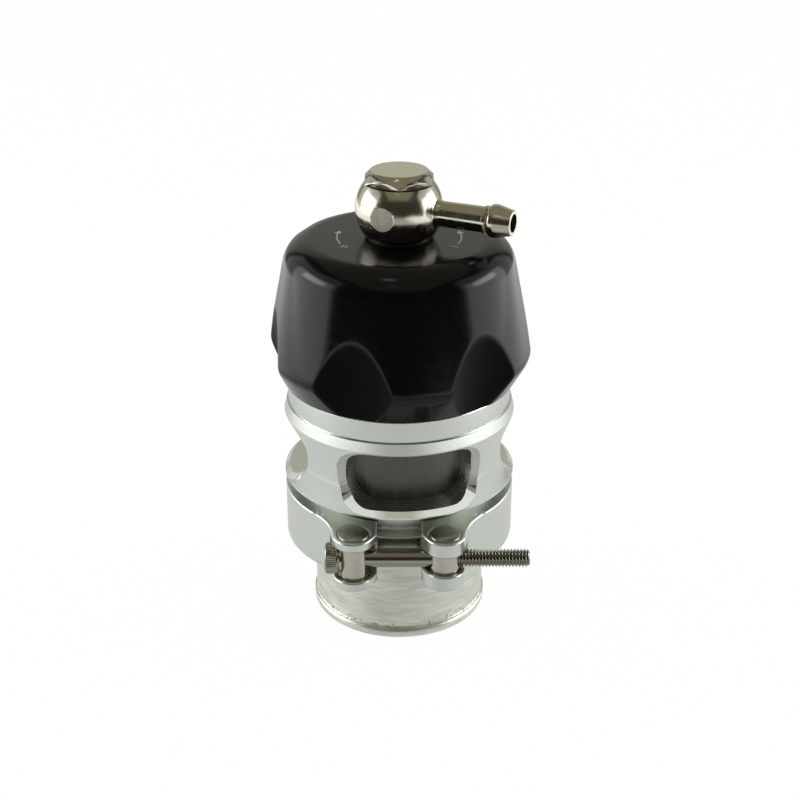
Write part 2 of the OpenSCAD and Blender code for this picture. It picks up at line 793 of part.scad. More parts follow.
module clamp_bolt() {
    color("#aaa79b") translate([bolt_head_x, -barrel_y, ear_mid]) rotate([0, 90, 0]) difference() {
        union() {
            cylinder(h = bolt_len, d = bolt_d);
            turned([
                [0, -bolt_head_t, 0],
                [bolt_head_r, -bolt_head_t, edge_break],
                [bolt_head_r, 0, edge_break / 2],
                [0, 0, 0]
            ]);
        }
        translate([0, 0, -bolt_head_t - past])
            cylinder(h = socket_deep + past, r = socket_af / sqrt(3), $fn = 6);
    }
}

module clamp_washer() {
    color("#aaa79b") translate([bolt_washer_x, -barrel_y, ear_mid]) rotate([0, 90, 0]) difference() {
        cylinder(h = bolt_washer_t, d = head_slot_h - 4 * clamp_gap);
        translate([0, 0, -past]) cylinder(h = bolt_washer_t + 2 * past, d = bolt_d + 2 * running_gap);
    }
}

inlet_stub();
flange_seal();
body();
valve_seal();
piston();
piston_ring();
spring();
spring_seat();
cap_seal();
cap();
banjo_washer_lower();
banjo_fitting();
banjo_washer_upper();
banjo_bolt();
clamp_half_left();
clamp_half_right();
clamp_hinge_pin();
clamp_barrel_plain();
clamp_barrel_threaded();
clamp_bolt();
clamp_washer();
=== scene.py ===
"""Looks of a blow off valve: finishes, screw thread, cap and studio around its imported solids.

The file is laid out as an add-on and run as a script. Lengths are in metres, in the solids' own frame:
Z is the valve's axis, Z = 0 the foot of the hose spigot and -Y the front with the clamp's ears.
"""

import json
import math

import bmesh
import bpy
import numpy as np
from bpy.props import FloatProperty, FloatVectorProperty, IntProperty, PointerProperty
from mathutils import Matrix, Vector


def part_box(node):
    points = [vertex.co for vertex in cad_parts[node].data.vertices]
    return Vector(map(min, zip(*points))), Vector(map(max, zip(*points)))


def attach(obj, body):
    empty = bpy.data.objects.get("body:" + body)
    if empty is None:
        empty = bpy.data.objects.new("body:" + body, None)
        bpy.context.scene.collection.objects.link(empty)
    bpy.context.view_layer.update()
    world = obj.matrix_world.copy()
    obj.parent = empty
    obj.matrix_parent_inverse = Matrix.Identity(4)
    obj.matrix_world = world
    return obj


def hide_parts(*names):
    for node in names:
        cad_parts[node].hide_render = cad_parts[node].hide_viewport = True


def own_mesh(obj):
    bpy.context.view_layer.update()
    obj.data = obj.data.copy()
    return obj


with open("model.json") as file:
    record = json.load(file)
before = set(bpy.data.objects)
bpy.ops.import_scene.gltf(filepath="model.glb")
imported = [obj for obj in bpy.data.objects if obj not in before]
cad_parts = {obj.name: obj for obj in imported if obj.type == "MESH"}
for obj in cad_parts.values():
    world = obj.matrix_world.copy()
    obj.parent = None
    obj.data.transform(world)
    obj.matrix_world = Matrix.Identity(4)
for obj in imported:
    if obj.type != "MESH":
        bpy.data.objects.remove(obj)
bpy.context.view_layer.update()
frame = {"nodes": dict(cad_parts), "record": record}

bl_info = {
    "name": "Blow off valve",
    "version": (1, 0, 0),
    "blender": (4, 5, 0),
    "location": "View3D > Sidebar > Valve",
    "description": "Finishes, screw thread, cap and studio for the solids of a blow off valve",
    "category": "Object",
}

MM = 0.001
# Corners closer than this are one
MERGE = 0.0005 * MM
BODY_OF = {node: body for body, nodes in frame["record"]["behaviour"]["bodies"].items() for node in nodes}
SLOT_OF = {part["node"]: part["material_slot"] for part in frame["record"]["subparts"]}
CAP_LOW, CAP_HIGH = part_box("cap")
BOLT_LOW, BOLT_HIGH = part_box("clamp_bolt")
BARREL_LOW, BARREL_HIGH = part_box("clamp_barrel_threaded")
HEAD_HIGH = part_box("banjo_bolt")[1]


def linear(code):
    """Linear RGB of an sRGB hex code."""
    srgb = np.array([int(code[i : i + 2], 16) for i in (1, 3, 5)]) / 255
    return tuple(np.where(srgb <= 0.04045, srgb / 12.92, ((srgb + 0.055) / 1.055) ** 2.4))


def length(label, text, default):
    """A size property in metres."""
    return FloatProperty(name=label, description=text, default=default, min=0, unit="LENGTH", precision=5)


def angle(label, text, degrees):
    """An angle property from degrees."""
    return FloatProperty(name=label, description=text, default=math.radians(degrees), subtype="ANGLE")


def brightness(label, text, default):
    """A brightness property, where one is white."""
    return FloatProperty(name=label, description=text, default=default, min=0)


def colour(label, text, code):
    """A colour property from an sRGB hex code."""
    return FloatVectorProperty(name=label, description=text, default=linear(code), min=0, max=1, subtype="COLOR")


class ValveCapSizes(bpy.types.PropertyGroup):
    """Sizes of the fluted cap."""

    widest: length("Widest diameter", "Diameter of the cap where its side meets the lower chamfer", 57.1 * MM)
    edge: length("Lower edge", "Diameter of the cap's lower edge", 50.0 * MM)
    top: length("Top diameter", "Diameter where the side would meet the top", 46.9 * MM)
    chamfer: length("Lower chamfer", "Height of the chamfer under the widest part", 6.3 * MM)
    fillet: length("Top rounding", "Radius of the rounded top edge", 6.2 * MM)
    belly: length("Side rounding", "Radius of the rounded widest edge", 4.0 * MM)
    bore: length("Bore", "Diameter of the cap's bore", 45.32 * MM)
    hole: length("Bolt hole", "Diameter of the hole for the banjo bolt", 9.92 * MM)
    ceiling: length("Top thickness", "Thickness of the cap's top", 5.2 * MM)
    flutes: IntProperty(name="Flutes", description="Number of grip flutes", default=6, min=3, max=12)
    flute_turn: angle("Flute turn", "Turn of the first flute from the front", -20.5)
    flute_radius: length("Flute radius", "Radius of the flute cutter", 20.0 * MM)
    flute_floor: length("Flute floor", "Distance of a flute's floor from the axis at the lower edge", 24.3 * MM)
    flute_lean: angle("Flute lean", "Lean of a flute away from the axis", 7)
    softness: length("Edge softness", "Rounding where a flute meets the side", 0.12 * MM)


class ValveBoltSizes(bpy.types.PropertyGroup):
    """Sizes of the clamp bolt."""

    diameter: length("Diameter", "Outer diameter of the bolt over its thread", 3.92 * MM)
    pitch: length("Pitch", "Distance between two turns of the thread", 0.7 * MM)
    depth: length("Depth", "Depth of the thread", 0.43 * MM)
    head: length("Head", "Length of the head", 3.0 * MM)
    head_diameter: length("Head diameter", "Diameter of the knurled head", 6.6 * MM)
    knurl: length("Knurl", "Depth of the knurl", 0.12 * MM)
    ridges: IntProperty(name="Ridges", description="Number of ridges of the knurl", default=48, min=12, max=90)
    socket: length("Socket", "Width of the hex socket across its flats", 3.0 * MM)
    socket_depth: length("Socket depth", "Depth of the hex socket", 2.0 * MM)


class ValveColours(bpy.types.PropertyGroup):
    """Colours of the finishes."""

    body: colour("Body", "Satin turned aluminium of the body", "#dce1da")
    clamp: colour("Clamp", "Satin machined aluminium of the clamp", "#d9ded7")
    spigot: colour("Spigot", "Mill finish aluminium of the hose spigot", "#e8eae0")
    stain: colour("Stain", "Brown stain at the spigot's bead", "#6f6045")
    cap: colour("Cap", "Black anodised aluminium of the cap", "#060606")
    mark: colour("Marks", "Laser marks on the cap", "#a9a9a2")
    piston: colour("Piston", "Hard anodised aluminium of the piston", "#6b6b65")
    nickel: colour("Nickel", "Bright nickel plate of the vacuum fitting", "#c0bcac")
    steel: colour("Steel", "Stainless steel of the barrels", "#bdbaae")
    screw: colour("Screw", "Rolled steel of the clamp bolt", "#a09d92")
    spring: colour("Spring", "Oiled spring wire", "#7c7a76")
    rubber: colour("Rubber", "Nitrile rubber of the seals", "#161616")


class ValveStudio(bpy.types.PropertyGroup):
    """Camera and lamps."""

    lens: FloatProperty(name="Lens", description="Focal length in millimetres", default=63.87, min=10)
    tilt: angle("Tilt", "Tilt of the camera", 64.68)
    distance: length("Distance", "Distance of the camera in front of the axis", 0.28218)
    height: length("Height", "Height of the camera", 0.18311)
    wall: brightness("Side walls", "Brightness of the pale wall on each side", 0.6)
    softbox: brightness("Softboxes", "Brightness of the softbox on each side", 1.6)
    lamp: brightness("Lamps", "Brightness of the lamp in each softbox", 4.8)
    spot: brightness("Spots", "Brightness of the small spots overhead", 2.6)


class ValveLook(bpy.types.PropertyGroup):
    """All that a user would change."""

    cap: PointerProperty(type=ValveCapSizes)
    bolt: PointerProperty(type=ValveBoltSizes)
    colours: PointerProperty(type=ValveColours)
    studio: PointerProperty(type=ValveStudio)


def look():
    """The scene's own values."""
    return bpy.context.scene.valve_look


# Shapes


def rounded(points, step=math.radians(4)):
    """Outline through rows of x, y, radius: each corner becomes an arc of its radius between its two sides."""
    points = np.asarray(points, float)
    out = []
    for before, corner, after in zip(np.roll(points, 1, 0), points, np.roll(points, -1, 0)):
        p, r = corner[:2], corner[2]
        if r <= 0:
            out.append(p[None])
            continue
        u = (before[:2] - p) / np.linalg.norm(before[:2] - p)
        v = (after[:2] - p) / np.linalg.norm(after[:2] - p)
        half = math.acos(float(u @ v)) / 2
        centre = p + (u + v) / np.linalg.norm(u + v) * r / math.sin(half)
        start, end = p + u * r / math.tan(half) - centre, p + v * r / math.tan(half) - centre
        first = math.atan2(start[1], start[0])
        sweep = (math.atan2(end[1], end[0]) - first + math.pi) % (2 * math.pi) - math.pi
        turns = first + sweep * np.linspace(0, 1, max(3, math.ceil(abs(sweep) / step) + 1))
        out.append(centre + r * np.stack([np.cos(turns), np.sin(turns)], 1))
    return np.concatenate(out)


def subdivided(outline, spacing):
    """A closed outline with points added along its straight sides, none further apart than the spacing."""
    ends = np.roll(outline, -1, 0)
    counts = np.maximum(1, np.ceil(np.linalg.norm(ends - outline, axis=1) / spacing).astype(int))
    which = np.repeat(np.arange(len(outline)), counts)
    along = (np.arange(counts.sum()) - np.repeat(np.cumsum(counts) - counts, counts)) / counts[which]
    return outline[which] + (ends - outline)[which] * along[:, None]


def grid_faces(rows, columns, close_rows, close_columns):
    """Four-cornered faces of a grid of points, which can close on itself along its rows or its columns."""
    i, j = np.meshgrid(np.arange(rows - (not close_rows)), np.arange(columns - (not close_columns)), indexing="ij")
    k, m = (i + 1) % rows, (j + 1) % columns
    return np.stack([i * columns + j, k * columns + j, k * columns + m, i * columns + m], -1).reshape(-1, 4)


def new_piece(name, points, faces, material, node, sharp=35):
    """An object with smooth faces and with edges sharper than an angle left sharp, riding on a node's body."""
    mesh = bpy.data.meshes.new(name)
    mesh.from_pydata(points.reshape(-1, 3).tolist(), [], faces.tolist())
    work = bmesh.new()
    work.from_mesh(mesh)
    bmesh.ops.remove_doubles(work, verts=work.verts, dist=MERGE)
    bmesh.ops.recalc_face_normals(work, faces=work.faces)
    work.to_mesh(mesh)
    work.free()
    return placed(name, mesh, material, node, sharp)


def placed(name, mesh, material, node, sharp):
    """Puts a finished mesh into the scene, smooth between its sharp edges, on the body of a node; the node's slot is
    looked up but not given to it.
    """
    mesh.materials.clear()
    mesh.materials.append(material)
    mesh.shade_smooth()
    mesh.set_sharp_from_angle(angle=math.radians(sharp))
    piece = bpy.data.objects.new(name, mesh)
    bpy.context.scene.collection.objects.link(piece)
    body, slot = BODY_OF[node], SLOT_OF[node]
    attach(piece, body)
    return piece


def smooth_copy(node, material, sharp=28, broken=0, weighted=True):
    """A copy of a solid's loose triangles with its corners merged, shaded smooth by the size of its faces.

    With a width given, its sharp edges are broken by a narrow bevel.
    """
    mesh = frame["nodes"][node].data.copy()
    work = bmesh.new()
    work.from_mesh(mesh)
    bmesh.ops.remove_doubles(work, verts=work.verts, dist=MERGE)
    if broken:
        # Small steps at the ends of a rounding, under 0.1 mm long or 0.06 square mm, are left as they are
        weight = work.edges.layers.float.new("bevel_weight_edge")
        for edge in work.edges:
            least = min(face.calc_area() for face in edge.link_faces)
            large = edge.calc_length() > 0.1 * MM and least > 0.06 * MM**2
            edge[weight] = large and edge.is_convex and edge.calc_face_angle(0) > math.radians(50)
    work.to_mesh(mesh)
    work.free()
    piece = placed(node + "_finish", mesh, material, node, sharp)
    if broken:
        bevel = piece.modifiers.new("Broken edges", "BEVEL")
        bevel.width, bevel.segments = broken, 2
        bevel.limit_method, bevel.use_clamp_overlap = "WEIGHT", False
    if weighted:
        even = piece.modifiers.new("Even shading", "WEIGHTED_NORMAL")
        even.keep_sharp, even.weight = True, 100
    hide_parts(node)
    return piece


def turned_copy(node, material, chamfer=None, outline=((0, 1), (0, 0)), lean=None):
    """A copy of a solid turned about Z, shaded as true surfaces of revolution.

    A face whose normal lies in the plane through Z takes the same slope all round, and other faces, such as those of
    a vent, keep their own normals. At a corner, faces of one kind blend by area where they bend less than an angle.
    Outward faces in front that lie within an outline of heights and radii are the front vent's chamfer, with its own
    material. A lean function can change the upward angle of the turned faces with their height.
    """
    piece = smooth_copy(node, material, weighted=False)
    mesh = piece.data
    vertex = read_rows(mesh.loops, "vertex_index", 1, np.int32)
    face = np.repeat(np.arange(len(mesh.polygons)), read_rows(mesh.polygons, "loop_total", 1, np.int32))
    where = read_rows(mesh.vertices, "co", 3, np.float32)[vertex]
    middle = read_rows(mesh.polygons, "center", 3, np.float32)
    normal = read_rows(mesh.polygons, "normal", 3, np.float32)
    area = read_rows(mesh.polygons, "area", 1, np.float32)[face]
    out = middle[:, :2] / np.linalg.norm(middle[:, :2], axis=1, keepdims=True)
    aside = normal[:, 1] * out[:, 0] - normal[:, 0] * out[:, 1]
    outward = (normal[:, :2] * out).sum(1)
    level = np.sqrt(np.maximum(0, 1 - normal[:, 2] ** 2)) * np.where(outward < 0, -1, 1)
    within = np.interp(middle[:, 2], *outline, left=0, right=0) - 0.08 * MM
    # The front vent is more than 10 mm in front of the axis
    cut = (np.linalg.norm(middle[:, :2], axis=1) < within) & (outward > 0.3) & (middle[:, 1] < -10 * MM)
    turned = ((np.abs(aside) < 0.08) & ~cut)[face]
    kind = np.where(cut[face], 2, turned)
    # Normals as radial, sideways and upright shares at each corner
    ray = where[:, :2] / np.linalg.norm(where[:, :2], axis=1, keepdims=True)
    own = normal[face]
    radial = np.where(turned, level[face], (own[:, :2] * ray).sum(1))
    sideways = np.where(turned, 0, own[:, 1] * ray[:, 0] - own[:, 0] * ray[:, 1])
    local = np.stack([radial, sideways, own[:, 2]], 1)
    # All pairs of corners that share a vertex
    order, count = np.argsort(vertex, kind="stable"), np.bincount(vertex)
    many = count[vertex]
    one = np.repeat(np.arange(len(vertex)), many)
    step = np.arange(len(one)) - np.repeat(np.cumsum(many) - many, many)
    other = order[(np.cumsum(count) - count)[vertex[one]] + step]
    # Angles that other, turned and chamfer faces blend over
    limit = np.cos(np.radians(np.array([25, 8, 4])))[kind[one]]
    like = (kind[one] == kind[other]) & ((local[one] * local[other]).sum(1) > limit)
    share = like * area[other]
    total = np.stack([np.bincount(one, share * local[other, k]) for k in range(3)], 1)
    total /= np.linalg.norm(total, axis=1, keepdims=True)
    if lean:
        rise = np.where(kind == 1, lean(where[:, 2], np.arcsin(np.clip(total[:, 2], -1, 1))), 0)
        total[kind == 1] = np.stack([np.cos(rise) * np.sign(total[:, 0]), 0 * rise, np.sin(rise)], 1)[kind == 1]
    flat = total[:, :1] * ray + total[:, 1:2] * np.stack([-ray[:, 1], ray[:, 0]], 1)
    mesh.normals_split_custom_set(np.column_stack([flat, total[:, 2]]).tolist())
    if chamfer:
        mesh.materials.append(chamfer)
        mesh.polygons.foreach_set("material_index", cut.astype(np.int32))
    return piece


def read_rows(rows, name, wide, kind):
    """One value of each row of a mesh's data, as an array."""
    values = np.empty(len(rows) * wide, kind)
    rows.foreach_get(name, values)
    return values.reshape(-1, wide) if wide > 1 else values


# Materials


def add(tree, kind, links=None, values=None, **settings):
    """Adds a shader node with its settings, the constants of its sockets and the links into them.

    A link comes from a socket, or from a node's first one.
    """
    made = tree.nodes.new(kind)
    for name, value in settings.items():
        setattr(made, name, value)
    for socket, value in (values or {}).items():
        made.inputs[socket].default_value = value
    for socket, source in (links or {}).items():
        first = source.outputs[0] if isinstance(source, bpy.types.Node) else source
        tree.links.new(first, made.inputs[socket])
    return made


def new_material(name, tint, metallic, roughness):
    """A material, its node tree, its shader with the plain values on its own sockets, and object coordinates."""
    material = bpy.data.materials.new(name)
    material.use_nodes = True
    tree = material.node_tree
    shader = tree.nodes["Principled BSDF"]
    shader.inputs["Base Color"].default_value = (*tint, 1)
    shader.inputs["Metallic"].default_value = metallic
    shader.inputs["Roughness"].default_value = roughness
    return material, tree, shader, add(tree, "ShaderNodeTexCoord").outputs["Object"]


def lathe_place(tree, place):
    """Object coordinates as distance from Z and height, so that a pattern on them runs round the part."""
    parts = add(tree, "ShaderNodeSeparateXYZ", {0: place})
    across = add(tree, "ShaderNodeCombineXYZ", {0: parts, 1: parts.outputs[1]})
    far = add(tree, "ShaderNodeVectorMath", {0: across}, operation="LENGTH")
    return add(tree, "ShaderNodeCombineXYZ", {0: far.outputs["Value"], 1: parts.outputs[2]})


def tooled(tree, shader, pattern, low, high, strength=0, depth=0):
    """Marks of making: a pattern spreads the roughness between two levels, and can stand out by a depth."""
    spread = add(tree, "ShaderNodeMapRange", {0: pattern}, {1: 0.3, 2: 0.7, 3: low, 4: high})
    tree.links.new(spread.outputs[0], shader.inputs["Roughness"])
    if depth:
        bump = add(tree, "ShaderNodeBump", {"Height": pattern}, {"Strength": strength, "Distance": depth})
        tree.links.new(bump.outputs[0], shader.inputs["Normal"])


def satin_turned_aluminium(tint):
    """Aluminium turned on a lathe and bead blasted: bright, with a soft gloss and faint rings."""
    material, tree, shader, place = new_material("satin turned aluminium", tint, 1, 0.3)
    # Rings 0.5 mm apart, coarser than a real feed so that they show
    scale = {"Scale": 1 / (0.5 * MM), "Detail": 2, "Roughness": 0.6}
    rings = add(tree, "ShaderNodeTexNoise", {"Vector": lathe_place(tree, place)}, scale)
    # Grain of the blasting, 0.35 mm
    grain = add(tree, "ShaderNodeTexNoise", {"Vector": place}, {"Scale": 1 / (0.35 * MM), "Detail": 3})
    tooled(tree, shader, rings, 0.26, 0.285)
    bump = add(tree, "ShaderNodeBump", {"Height": grain}, {"Strength": 0.02, "Distance": 0.02 * MM})
    tree.links.new(bump.outputs[0], shader.inputs["Normal"])
    return material


def chamfer_painted_reflection():
    """Aluminium cut by a mill after turning, drawn as a matt near white with fine chatter: its brightness is a painted
    reflection, toned by its slope with painted shade and a painted highlight.
    """
    material, tree, shader, place = new_material("chamfer painted reflection", linear("#eeeee6"), 0, 0.42)
    # Chatter, 0.5 mm
    chatter = add(tree, "ShaderNodeTexNoise", {"Vector": place}, {"Scale": 1 / (0.5 * MM), "Detail": 2})
    tooled(tree, shader, chatter, 0.36, 0.5)
    # Painted shade darkens its corners, and a painted highlight makes its level part at the sill brightest; its side
    # facets get a painted reflection of the waist's tone
    facing = add(tree, "ShaderNodeNewGeometry").outputs["True Normal"]
    upright = add(tree, "ShaderNodeSeparateXYZ", {0: facing}).outputs[2]
    corner = add(tree, "ShaderNodeMapRange", {0: upright}, {1: 0.2, 2: 0.4})
    sill = add(tree, "ShaderNodeMapRange", {0: upright}, {1: 0.62, 2: 0.66})
    shade = {6: (*linear("#c4c9c1"), 1), 7: (*linear("#9a9a90"), 1)}
    side = add(tree, "ShaderNodeMix", {0: corner}, shade, data_type="RGBA").outputs[2]
    # Painted reflection: the sill is greyer in its middle 8 mm and brighter towards its ends
    across = add(tree, "ShaderNodeSeparateXYZ", {0: place})
    width = add(tree, "ShaderNodeMath", {0: across}, operation="ABSOLUTE")
    ends = add(tree, "ShaderNodeMapRange", {0: width}, {1: 2.5 * MM, 2: 5.5 * MM})
    shade = {6: (*linear("#c3c5b6"), 1), 7: (*linear("#f2f6ec"), 1)}
    level = add(tree, "ShaderNodeMix", {0: ends}, shade, data_type="RGBA").outputs[2]
    tone = add(tree, "ShaderNodeMix", {0: sill, 6: side, 7: level}, data_type="RGBA")
    tree.links.new(tone.outputs[2], shader.inputs["Base Color"])
    return material


def satin_machined_aluminium(tint):
    """Aluminium milled and tumbled: a pale even satin with a fine grain."""
    material, tree, shader, place = new_material("satin machined aluminium", tint, 1, 0.34)
    # Grain of the tumbling, 0.4 mm
    grain = add(tree, "ShaderNodeTexNoise", {"Vector": place}, {"Scale": 1 / (0.4 * MM), "Detail": 3, "Roughness": 0.6})
    tooled(tree, shader, grain, 0.29, 0.4, 0.12, 0.02 * MM)
    return material


def mill_finish_aluminium(tint, stain):
    """Drawn aluminium tube as it comes from the mill: greyish, mottled, scratched, stained at its bead."""
    material, tree, shader, place = new_material("mill finish aluminium", tint, 1, 0.45)
    # Mottling 3 mm tall and scratches 0.6 mm apart, both long round the tube
    wide = add(tree, "ShaderNodeMapping", {"Vector": place}, {"Scale": (0.4, 0.4, 1)})
    mottle = add(tree, "ShaderNodeTexNoise", {"Vector": wide}, {"Scale": 1 / (3 * MM), "Detail": 5, "Roughness": 0.65})
    round_z = add(tree, "ShaderNodeMapping", {"Vector": place}, {"Scale": (0.12, 0.12, 1)})
    scratch = add(tree, "ShaderNodeTexNoise", {"Vector": round_z}, {"Scale": 1 / (0.6 * MM), "Detail": 3})
    mixed = add(tree, "ShaderNodeMath", {0: scratch, 1: mottle}, operation="ADD")
    specks = add(tree, "ShaderNodeTexNoise", {"Vector": place}, {"Scale": 1 / (0.9 * MM), "Detail": 2})
    tooled(tree, shader, mottle, 0.36, 0.52)
    pale = tuple(min(1, c * 1.12) for c in tint)
    dull = tuple(c * 0.78 for c in tint)
    worn = add(tree, "ShaderNodeMapRange", {0: mixed}, {1: 0.7, 2: 1.3})
    base = add(tree, "ShaderNodeMix", {0: worn}, {6: (*dull, 1), 7: (*pale, 1)}, data_type="RGBA")
    # Stain gathers in the corner above the bead, 2.6 to 4.4 mm above the foot
    height = add(tree, "ShaderNodeSeparateXYZ", {0: place}).outputs[2]
    up = add(tree, "ShaderNodeMapRange", {0: height}, {1: 2.4 * MM, 2: 3.0 * MM})
    down = add(tree, "ShaderNodeMapRange", {0: height}, {1: 4.6 * MM, 2: 3.2 * MM})
    band = add(tree, "ShaderNodeMath", {0: up, 1: down}, operation="MULTIPLY")
    dots = add(tree, "ShaderNodeMapRange", {0: specks}, {1: 0.55, 2: 0.72})
    dirt = add(tree, "ShaderNodeMath", {0: band, 1: dots}, operation="MULTIPLY")
    dirty = add(tree, "ShaderNodeMix", {0: dirt, 6: base.outputs[2]}, {7: (*stain, 1)}, data_type="RGBA")
    # Pin holes
    pits = add(tree, "ShaderNodeMapRange", {0: specks}, {1: 0.72, 2: 0.78, 4: 0.75})
    pitted = add(tree, "ShaderNodeMix", {0: pits, 6: dirty.outputs[2]}, {7: (*stain, 1)}, data_type="RGBA")
    tree.links.new(pitted.outputs[2], shader.inputs["Base Color"])
    bump = add(tree, "ShaderNodeBump", {"Height": mixed}, {"Strength": 0.3, "Distance": 0.03 * MM})
    tree.links.new(bump.outputs[0], shader.inputs["Normal"])
    return material


def black_anodised_aluminium(tint):
    """Polished aluminium dyed black under a clear oxide: deep black with a soft gloss, duller in the milled flutes."""
    material, tree, shader, place = new_material("black anodised aluminium", tint, 0, 0.16)
    shader.inputs["IOR"].default_value = 1.33
    flute = add(tree, "ShaderNodeAttribute", attribute_name="flute")
    # Cloudiness of the polish, 1.5 mm
    cloud = add(tree, "ShaderNodeTexNoise", {"Vector": place}, {"Scale": 1 / (1.5 * MM), "Detail": 4})
    polish = add(tree, "ShaderNodeMapRange", {0: cloud}, {1: 0.3, 2: 0.7, 3: 0.13, 4: 0.18})
    rough = add(tree, "ShaderNodeMix", {0: flute.outputs["Fac"], 2: polish}, {3: 0.34})
    tree.links.new(rough.outputs[0], shader.inputs["Roughness"])
    gloss = add(tree, "ShaderNodeMapRange", {0: flute.outputs["Fac"]}, {3: 0.5, 4: 0.1})
    tree.links.new(gloss.outputs[0], shader.inputs["Specular IOR Level"])
    # Fine grain, 0.25 mm
    grain = add(tree, "ShaderNodeTexNoise", {"Vector": place}, {"Scale": 1 / (0.25 * MM), "Detail": 2})
    bump = add(tree, "ShaderNodeBump", {"Height": grain}, {"Strength": 0.04, "Distance": 0.01 * MM})
    tree.links.new(bump.outputs[0], shader.inputs["Normal"])
    return material


def hard_anodised_aluminium(tint):
    """Hard anodised aluminium, honed along its length: dark grey with fine upright lines."""
    material, tree, shader, place = new_material("hard anodised aluminium", tint, 1, 0.4)
    # Lines 0.4 mm apart and long along Z
    upright = add(tree, "ShaderNodeMapping", {"Vector": place}, {"Scale": (1, 1, 0.04)})
    lines = add(tree, "ShaderNodeTexNoise", {"Vector": upright}, {"Scale": 1 / (0.4 * MM), "Detail": 3})
    tooled(tree, shader, lines, 0.32, 0.5, 0.25, 0.03 * MM)
    dull = tuple(c * 0.75 for c in tint)
    streak = add(tree, "ShaderNodeMapRange", {0: lines}, {1: 0.3, 2: 0.7})
    base = add(tree, "ShaderNodeMix", {0: streak}, {6: (*dull, 1), 7: (*tint, 1)}, data_type="RGBA")
    tree.links.new(base.outputs[2], shader.inputs["Base Color"])
    return material


def bright_nickel_plate(tint):
    """Nickel plated brass, handled: a warm soft mirror with slight ripples."""
    material, tree, shader, place = new_material("bright nickel plate", tint, 1, 0.18)
    # Ripple of the polish, 1.2 mm
    ripple = add(tree, "ShaderNodeTexNoise", {"Vector": place}, {"Scale": 1 / (1.2 * MM), "Detail": 3})
    polish = add(tree, "ShaderNodeMapRange", {0: ripple}, {1: 0.3, 2: 0.7, 3: 0.13, 4: 0.24})
    # The bolt's top is faced off on the lathe and stays dull
    height = add(tree, "ShaderNodeSeparateXYZ", {0: place}).outputs[2]
    top = HEAD_HIGH.z
    faced = add(tree, "ShaderNodeMapRange", {0: height}, {1: top - 0.06 * MM, 2: top - 0.01 * MM})
    rough = add(tree, "ShaderNodeMix", {0: faced, 2: polish}, {3: 0.24})
    tree.links.new(rough.outputs[0], shader.inputs["Roughness"])
    plate = {6: (*tint, 1), 7: (*linear("#dcdccb"), 1)}
    shade = add(tree, "ShaderNodeMix", {0: faced}, plate, data_type="RGBA")
    tree.links.new(shade.outputs[2], shader.inputs["Base Color"])
    bump = add(tree, "ShaderNodeBump", {"Height": ripple}, {"Strength": 0.16, "Distance": 0.02 * MM})
    tree.links.new(bump.outputs[0], shader.inputs["Normal"])
    return material


def brushed_nickel_plate(tint, turn):
    """Nickel plate over a filed flat: dull, with level lines."""
    material, tree, shader, place = new_material("brushed nickel plate", tint, 1, 0.4)
    # File lines 0.35 mm apart, coarser than real ones so that they show, turned along the flat
    along = add(tree, "ShaderNodeMapping", {"Vector": place}, {"Rotation": (0, 0, turn), "Scale": (0.08, 1, 1)})
    lines = add(tree, "ShaderNodeTexNoise", {"Vector": along}, {"Scale": 1 / (0.35 * MM), "Detail": 2})
    tooled(tree, shader, lines, 0.3, 0.5, 0.5, 0.05 * MM)
    return material


def turned_stainless_steel(tint):
    """Stainless steel from an automatic lathe: warm grey, fairly bright, with small patches of wear."""
    material, tree, shader, place = new_material("turned stainless steel", tint, 1, 0.2)
    # Wear 0.8 mm across
    wear = add(tree, "ShaderNodeTexNoise", {"Vector": place}, {"Scale": 1 / (0.8 * MM), "Detail": 4, "Roughness": 0.6})
    tooled(tree, shader, wear, 0.12, 0.28, 0.12, 0.02 * MM)
    return material


def rolled_screw_steel(tint):
    """Cold headed and thread rolled steel: darker and smoother than the turned barrels, with a sharp gloss."""
    material, tree, shader, place = new_material("rolled screw steel", tint, 1, 0.16)
    # Marks of the rolling dies, 0.6 mm
    marks = add(tree, "ShaderNodeTexNoise", {"Vector": place}, {"Scale": 1 / (0.6 * MM), "Detail": 3})
    tooled(tree, shader, marks, 0.1, 0.22, 0.08, 0.02 * MM)
    return material


def oiled_spring_wire(tint):
    """Drawn and oiled spring wire: dark, fairly bright, with draw marks."""
    material, tree, shader, place = new_material("oiled spring wire", tint, 1, 0.3)
    # Draw marks, 0.5 mm
    draw = add(tree, "ShaderNodeTexNoise", {"Vector": place}, {"Scale": 1 / (0.5 * MM), "Detail": 2})
    tooled(tree, shader, draw, 0.22, 0.4)
    return material


def nitrile_rubber(tint):
    """Moulded nitrile rubber: matt black with a slight bloom."""
    material, tree, shader, place = new_material("nitrile rubber", tint, 0, 0.6)
    # Bloom 1 mm across
    bloom = add(tree, "ShaderNodeTexNoise", {"Vector": place}, {"Scale": 1 / (1 * MM), "Detail": 3})
    tooled(tree, shader, bloom, 0.5, 0.7)
    return material


def laser_mark(tint):
    """Anodising burnt pale by a laser: a matt grey."""
    material, tree, shader, place = new_material("laser marked oxide", tint, 0, 0.6)
    # Laser passes 0.3 mm apart
    passes = add(tree, "ShaderNodeTexNoise", {"Vector": place}, {"Scale": 1 / (0.3 * MM), "Detail": 1})
    tooled(tree, shader, passes, 0.5, 0.75)
    return material


# Pieces


